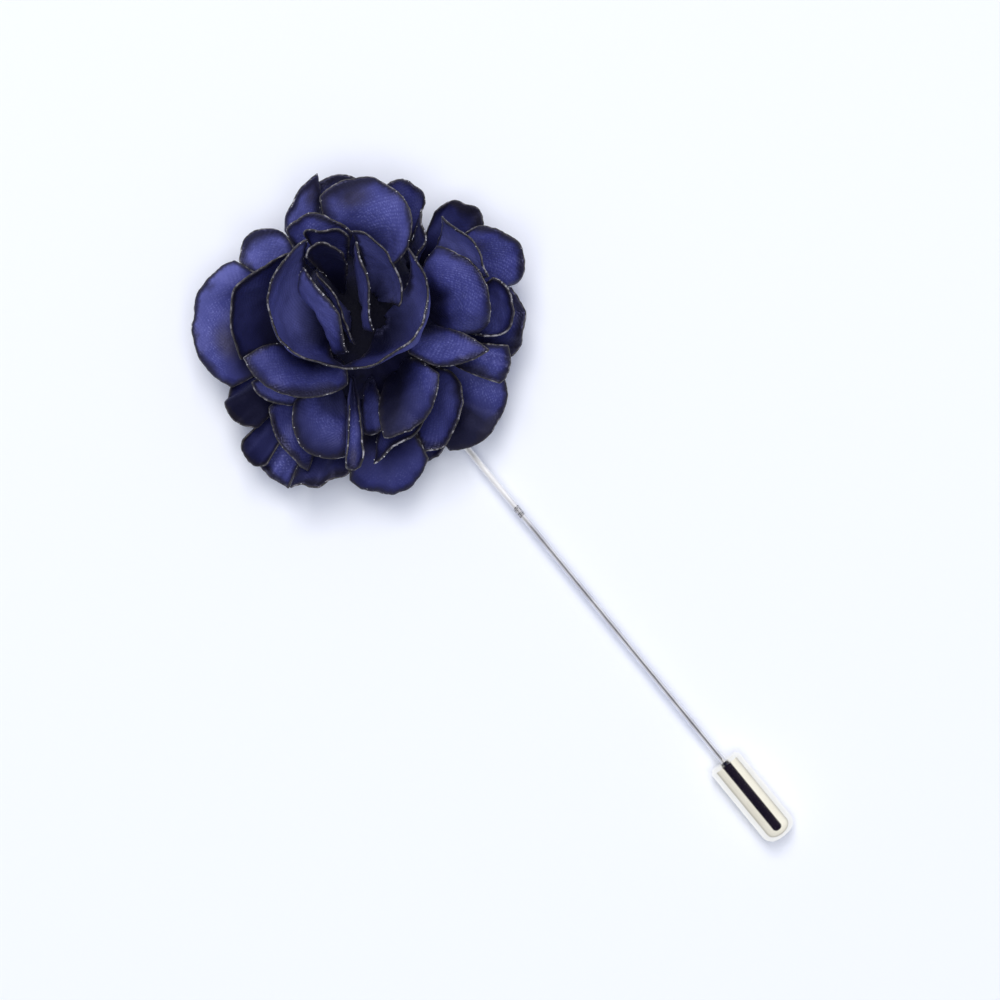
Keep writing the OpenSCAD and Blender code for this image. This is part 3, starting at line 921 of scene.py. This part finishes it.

# %% [markdown]
# ## What carries the flower
# Under the petals sits a knot of gathered satin, and below that a felt disc. From above only the knot's top
# shows, at the floor of the bud. Its satin is painted darker than the petals' as shade of the bud's hollow,
# and darker still towards its top. The knot is a dome with shallow pleats that run to its top, and the felt
# is a soft-edged disc with a fibrous surface. Both are turned about the flower's axis, which a Screw modifier
# could do too, but code can pleat and waver the rings as it turns them.


# %% Turned cloth
def turned_skin(name, profile, segments, pleats=0, pleat_depth=0.0, waver=0.0):
    """A closed form turned about Z from (radius in mm, height in mm, share of pleat and waver) rows."""
    points, faces = [], []
    for radius, height, share in profile:
        for k in range(segments):
            angle = 2 * math.pi * k / segments
            fold = math.cos(pleats * angle + 0.6 * math.sin(3 * angle))
            r = radius - pleat_depth * share * (0.5 + 0.5 * fold)
            wobble = noise.noise(Vector((math.cos(angle) * 2.5, math.sin(angle) * 2.5, height)))
            r += waver * share * wobble
            points.append(Vector((r * math.cos(angle), r * math.sin(angle), height)) * MM)
    last_ring = (len(profile) - 1) * segments
    for start in range(0, last_ring, segments):
        for k in range(segments):
            a, b = start + k, start + (k + 1) % segments
            faces.append((a, b, b + segments, a + segments))
    low = len(points)
    points += [Vector((0, 0, profile[0][1])) * MM, Vector((0, 0, profile[-1][1])) * MM]
    for k in range(segments):
        faces.append((low, (k + 1) % segments, k))
        faces.append((low + 1, last_ring + k, last_ring + (k + 1) % segments))
    return mesh_of(name, points, faces)


# %% Gathered satin finish
knot = Bench("gathered_satin")
knot_place = knot.place()
knot_drift = knot.cloud(knot_place, 260.0, 3.0, 0.6)
knot_grain = knot.cloud(knot.scaled(knot_place, 1.0, 1.0, 0.25), 5200.0, 2.0, 0.6)
# Painted shade: the knot's satin is darker than the petals', since it sits in the bud's hollow.
knot_colour = knot.mix(knot_drift.between(0.35, 0.65), paint(14, 14, 30), paint(28, 28, 60))
knot_height = knot.add("ShaderNodeSeparateXYZ", None, {"Vector": knot_place})["Z"] * (1 / MM)
# Painted shade, darker towards the knot's top deep in the bud.
knot_colour = knot.mix(knot_height.between(8.5, 10.0), knot_colour, paint(10, 10, 24))
gathered_satin = knot.finish(
    {"Base Color": knot_colour, "Roughness": 0.7 + knot_grain * 0.15, "Specular IOR Level": 0.2},
    knot_grain, strength=0.35, depth=0.00006,
)
print("knot finish:", gathered_satin.name)

# %% Gathered base
HEM_R, HEM_LOW, HEM_HIGH = 11.5, BASE_Z + 0.02, BASE_Z + 0.12
DOME_STEPS, DOME_FOOT, DOME_SKIN = 14, 0.7, 0.12
dome = [
    (BASE_R * 0.5, HEM_LOW, 0.0), (HEM_R, HEM_LOW, 0.3), (HEM_R, HEM_HIGH, 0.3),
    (BASE_R - 0.5, BASE_Z + 0.25, 0.7),
]
for k in range(DOME_STEPS + 1):
    height = BASE_Z + DOME_FOOT + (BASE_TOP - 0.25 - BASE_Z - DOME_FOOT) * k / DOME_STEPS
    radius = math.sqrt(max(0.2, (BALL_R - DOME_SKIN) ** 2 - (height - BALL.z) ** 2))
    dome.append((min(radius, BASE_R - 0.15), height, min(1.0, radius / BASE_R)))
base_mesh = turned_skin("gathered_base", dome, 160, pleats=22, pleat_depth=0.45, waver=0.12)
base_mesh.materials.append(gathered_satin)
gathered_base = add_piece("gathered_base", base_mesh)
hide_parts("flower_base")
print("base faces:", len(base_mesh.polygons))

# %% Felt finish
felt = Bench("dark_felt")
felt_place = felt.place()
fibres = felt.cloud(felt_place, 2400.0, 5.0, 0.7)
tufts = felt.cloud(felt_place, 420.0, 3.0, 0.6)
felt_colour = felt.mix(fibres.between(0.35, 0.7), paint(20, 20, 30), paint(48, 48, 62))
felt_colour = felt.mix(tufts.between(0.5, 0.7) * 0.4, felt_colour, paint(58, 58, 74))
felt_values = {"Base Color": felt_colour, "Roughness": 0.94, "Specular IOR Level": 0.2}
felt_values.update({"Sheen Weight": 0.4, "Sheen Roughness": 0.6})
dark_felt = felt.finish(felt_values, fibres + tufts * 0.5, strength=0.7, depth=0.00016)
print("felt finish:", dark_felt.name)

# %% Felt disc
felt_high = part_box("backing")[1]
FELT_R, FELT_T = felt_high.x / MM, felt_high.z / MM
felt_profile = [
    (FELT_R * 0.55, 0.0, 0.0), (FELT_R - 0.35, 0.0, 0.2), (FELT_R - 0.1, 0.12, 0.8),
    (FELT_R, 0.45, 1.0), (FELT_R, FELT_T - 0.45, 1.0),
    (FELT_R - 0.12, FELT_T - 0.1, 0.8), (FELT_R - 0.4, FELT_T, 0.2), (FELT_R * 0.5, FELT_T, 0.0),
]
felt_mesh = turned_skin("felt_disc", felt_profile, 144, waver=0.16)
felt_mesh.materials.append(dark_felt)
felt_disc = add_piece("felt_disc", felt_mesh)
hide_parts("backing")
print("felt", round(FELT_R, 2), "mm radius,", round(FELT_T, 2), "mm thick")

# %% [markdown]
# ## The hard parts
# These keep the model's own solids, whose round walls are true, and only get a finish. The needle is drawn
# steel wire: bright, with very fine lines along it. The stretch beside the flower is rougher, and its colour
# is painted whiter as a painted highlight. The clutch is polished and nearly a mirror, so its look comes from
# the room: a dark overhead stripe between two white ones. A faint haze of fine scratches breaks the
# reflection up.


# %% Needle and clutch finishes
KNURL_START = 28.2
steel = Bench("drawn_steel")
steel_place = steel.place()
drawn = steel.cloud(steel.scaled(steel_place, 9000.0, 60.0, 9000.0), 1.0, 3.0, 0.6)
smudge = steel.cloud(steel_place, 300.0, 2.0, 0.5)
steel_colour = steel.mix(smudge.between(0.35, 0.65), paint(206, 207, 216), paint(232, 233, 240))
from_flower = steel.add("ShaderNodeSeparateXYZ", None, {"Vector": steel_place})["Y"] * (-1 / MM)
stretch_near_flower = 1.0 - from_flower.between(KNURL_START - 3, KNURL_START + 3)
# Painted highlight: the stretch beside the flower is painted whiter; it is also rougher.
steel_colour = steel.mix(stretch_near_flower * 0.9, steel_colour, paint(252, 252, 254))
drawn_steel = steel.finish(
    {"Base Color": steel_colour, "Metallic": 1.0, "Roughness": 0.25 + drawn * 0.12 + stretch_near_flower * 0.35},
    drawn, strength=0.12, depth=0.00002,
)

polish = Bench("polished_clutch")
polish_place = polish.place()
haze = polish.cloud(polish_place, 320.0, 4.0, 0.6)
scratch = polish.cloud(polish.scaled(polish_place, 3000.0, 260.0, 3000.0), 1.0, 3.0, 0.7)
polish_colour = polish.mix(haze.between(0.35, 0.65), paint(244, 240, 226), paint(249, 246, 234))
polished_clutch = polish.finish(
    {"Base Color": polish_colour, "Metallic": 1.0, "Roughness": 0.07 + haze * 0.06 + scratch * 0.05},
    scratch, strength=0.05, depth=0.00002,
)
for node, finish in (("stick_pin", drawn_steel), ("clutch", polished_clutch)):
    for slot in nodes[node].material_slots:
        slot.material = finish
    print(node, "faces:", len(nodes[node].data.polygons))

# %% [markdown]
# ## The knurl
# A short stretch of the needle is knurled, which keeps the pin from slipping in the cloth. At this size the
# cut reads as a few tight rings that lean a little. They repeat, so a Geometry Nodes tree sets one hoop of
# wire on a row of points. A bump map would be cheaper, but it wouldn't break the needle's outline.

# %% Knurl finish
worn = Bench("knurled_steel")
worn_tone = worn.cloud(worn.place(), 4200.0, 2.0, 0.6)
worn_colour = worn.mix(worn_tone.between(0.42, 0.6), paint(70, 68, 74), paint(214, 212, 216))
worn_values = {"Base Color": worn_colour, "Metallic": 1.0, "Roughness": 0.3}
knurled_steel = worn.finish(worn_values, worn_tone, strength=0.3, depth=0.00003)
print("knurl finish:", knurled_steel.name)

# %% Knurl on the needle
NEEDLE_R, NEEDLE_Z = 0.375, 2.15
RING_LEAN = (math.radians(84), 0.0, math.radians(9))
knurl_plan = Plan(
    "needle_knurl",
    [("Rings", "Int"), ("Pitch", "Float"), ("Ring radius", "Float"), ("Wire radius", "Float"),
     ("Start", "Vector"), ("Finish", "Material")],
)
given = knurl_plan.given.outputs
circle = "GeometryNodeCurvePrimitiveCircle"
ring = knurl_plan.add(circle, None, {"Resolution": 20, "Radius": given["Ring radius"]})
wire = knurl_plan.add(circle, None, {"Resolution": 6, "Radius": given["Wire radius"]})
hoop = knurl_plan.add(
    "GeometryNodeCurveToMesh", None, {"Curve": ring.outputs["Curve"], "Profile Curve": wire.outputs["Curve"]}
)
back = knurl_plan.add("ShaderNodeCombineXYZ", None, {"Y": knurl_plan.maths("MULTIPLY", given["Pitch"], -1.0)})
ring_places = knurl_plan.add(
    "GeometryNodeMeshLine", {"mode": "OFFSET"},
    {"Count": given["Rings"], "Start Location": given["Start"], "Offset": back.outputs[0]},
)
upright = knurl_plan.add(
    "GeometryNodeInstanceOnPoints", None,
    {"Points": ring_places.outputs[0], "Instance": hoop.outputs[0], "Rotation": RING_LEAN},
)
knurl_plan.end(upright.outputs[0], given["Finish"])
knurl_sizes = {
    "Rings": 7, "Pitch": 0.2 * MM, "Ring radius": (NEEDLE_R - 0.01) * MM, "Wire radius": 0.07 * MM,
    "Start": Vector((0, -KNURL_START, NEEDLE_Z)) * MM, "Finish": knurled_steel,
}
knurl_mesh = grown("needle_knurl", bpy.data.meshes.new("knurl_seed"), knurl_plan, knurl_sizes)
add_piece("needle_knurl", knurl_mesh)
print("knurl faces:", len(knurl_mesh.polygons))
